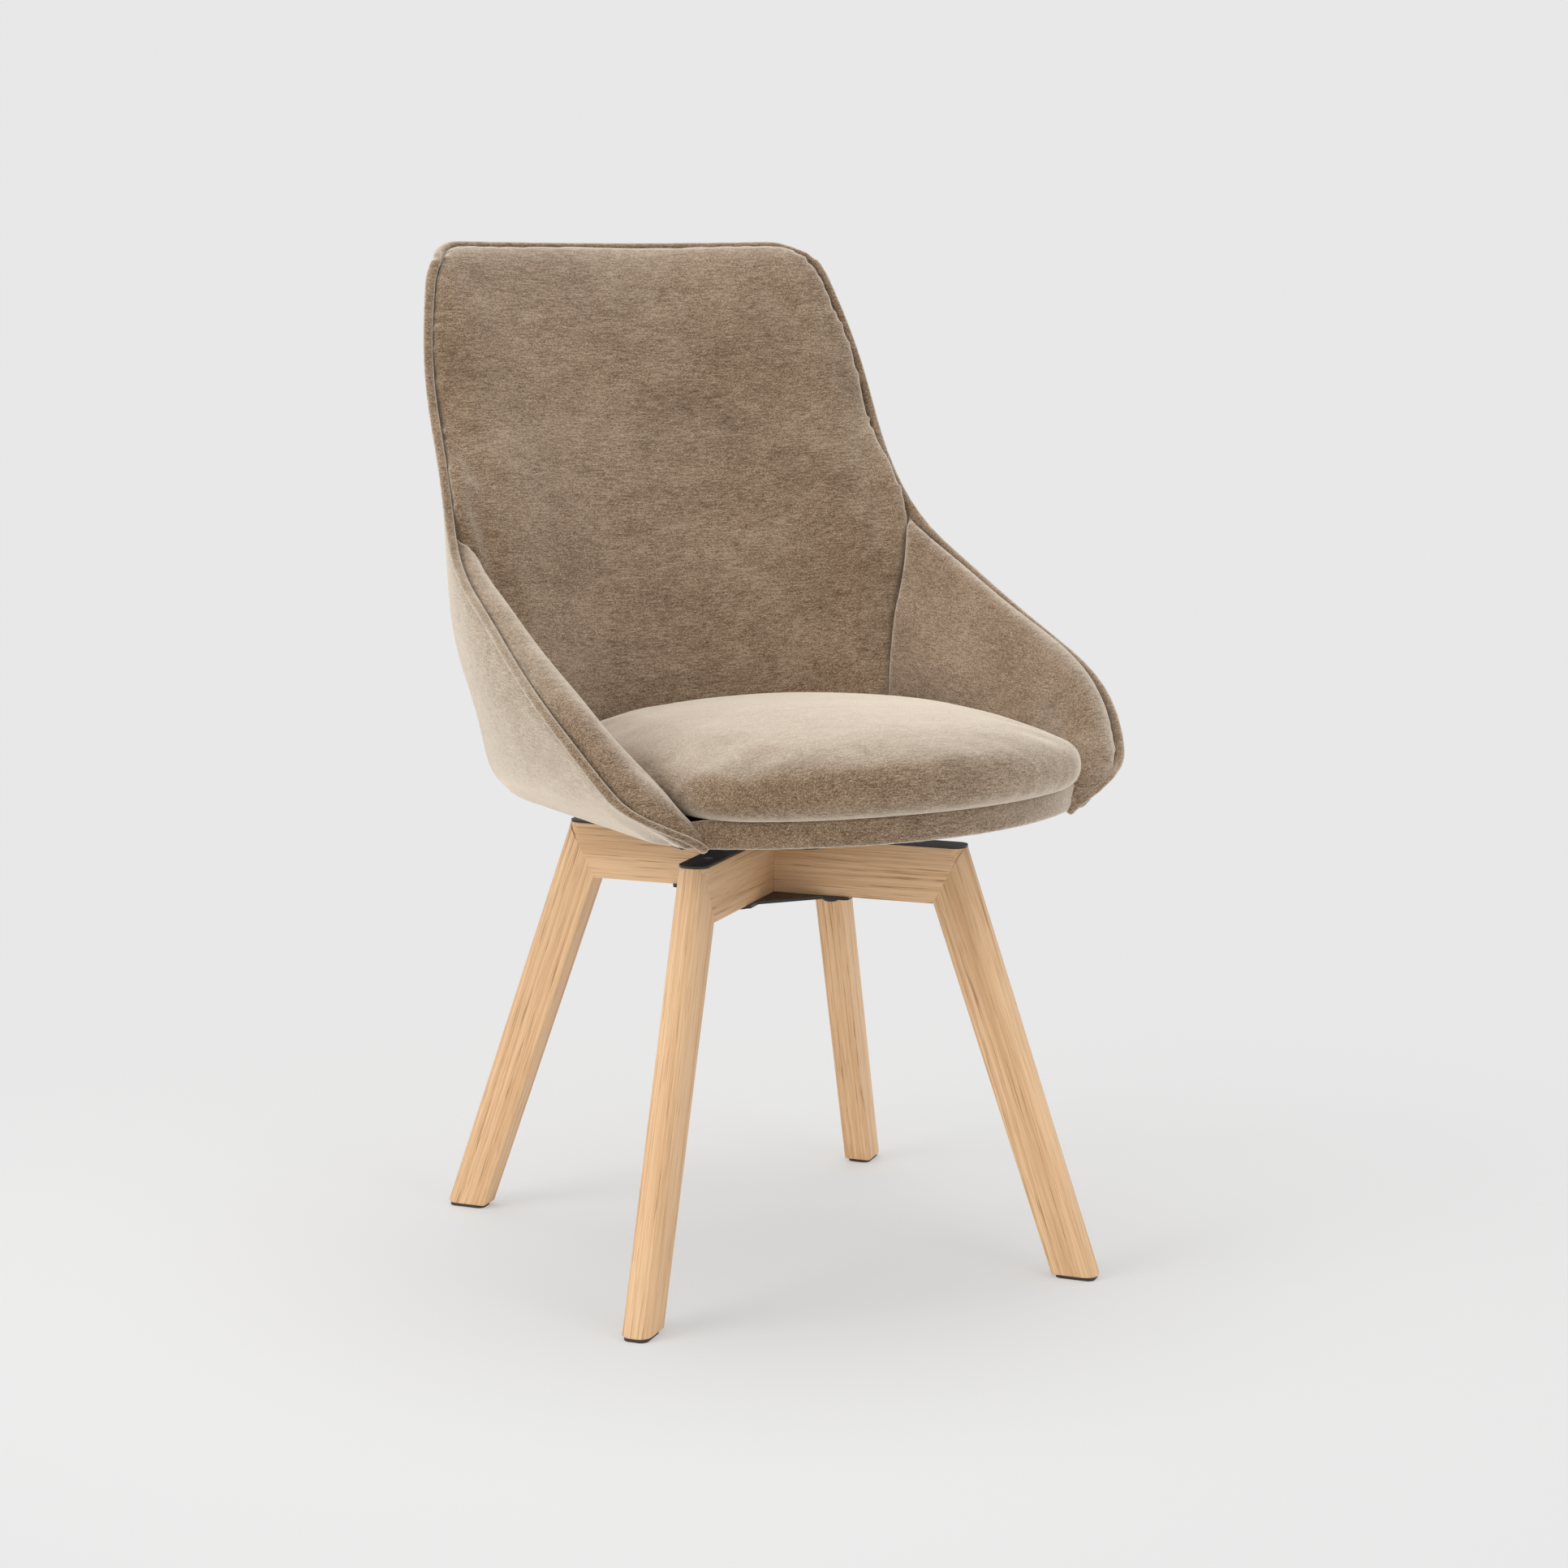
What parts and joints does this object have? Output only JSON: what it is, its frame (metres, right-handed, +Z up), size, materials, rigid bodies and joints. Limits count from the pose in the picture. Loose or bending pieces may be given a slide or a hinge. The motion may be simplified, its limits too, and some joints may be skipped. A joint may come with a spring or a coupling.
{
  "type": "swivel dining chair",
  "caption": "Dining chair with a piped bucket seat of woven fabric, turning on a ball swivel over a crossed oak frame with splayed legs.",
  "frame": {"origin": "point on the floor under the swivel axis", "axes": "+Z up along the swivel axis, seat front towards -Y, +X to the right seen from the front"},
  "size_m": [0.5356, 0.5298, 0.8515],
  "materials": {
    "oak": "satin lacquer",
    "beech": "bare",
    "black_steel": "satin black",
    "zinc_steel": "zinc plated",
    "glide_plastic": "matte",
    "cage_plastic": "matte",
    "upholstery": "woven, soft short pile",
    "foam": "open cell",
    "dust_cloth": "black cloth"
  },
  "bodies": {
    "base": {"leg_back_right": "oak", "leg_back_left": "oak", "leg_front_left": "oak", "leg_front_right": "oak", "foot_glides": "glide_plastic", "beam_lower": "oak", "beam_upper": "oak", "mitre_tenons": "beech", "top_plate": "black_steel", "plate_screws": "zinc_steel", "under_brace": "black_steel", "frame_bolts": "black_steel", "frame_washers": "zinc_steel", "frame_nuts": "zinc_steel", "lower_flange": "black_steel", "lower_race": "zinc_steel", "spindle": "zinc_steel", "spindle_washer": "zinc_steel", "spindle_nut": "zinc_steel"},
    "ball_ring": {"bearing_balls": "zinc_steel", "ball_cage": "cage_plastic"},
    "seat": {"upper_race": "zinc_steel", "pivot_bush": "cage_plastic", "upper_flange": "black_steel", "seat_bolts": "zinc_steel", "tee_nuts": "zinc_steel", "seat_board": "beech", "shell_core": "beech", "outer_cover": "upholstery", "piping": "upholstery", "arm_pad_left": "upholstery", "arm_pad_right": "upholstery", "back_pad": "upholstery", "seat_cushion": "upholstery", "seat_foam": "foam", "front_rail": "upholstery", "rail_core": "beech", "dust_cloth": "dust_cloth"}
  },
  "joints": [
    {"name": "seat_swivel", "type": "hinge", "parent": "base", "child": "seat", "pos_m": [0, 0, 0.374], "axis": [0, 0, 1], "continuous": true},
    {"name": "ball_ring_turn", "type": "hinge", "parent": "base", "child": "ball_ring", "pos_m": [0, 0, 0.374], "axis": [0, 0, 1], "continuous": true}
  ],
  "couplings": [
    {"joint": "ball_ring_turn", "follows": "seat_swivel", "ratio": 0.5}
  ]
}
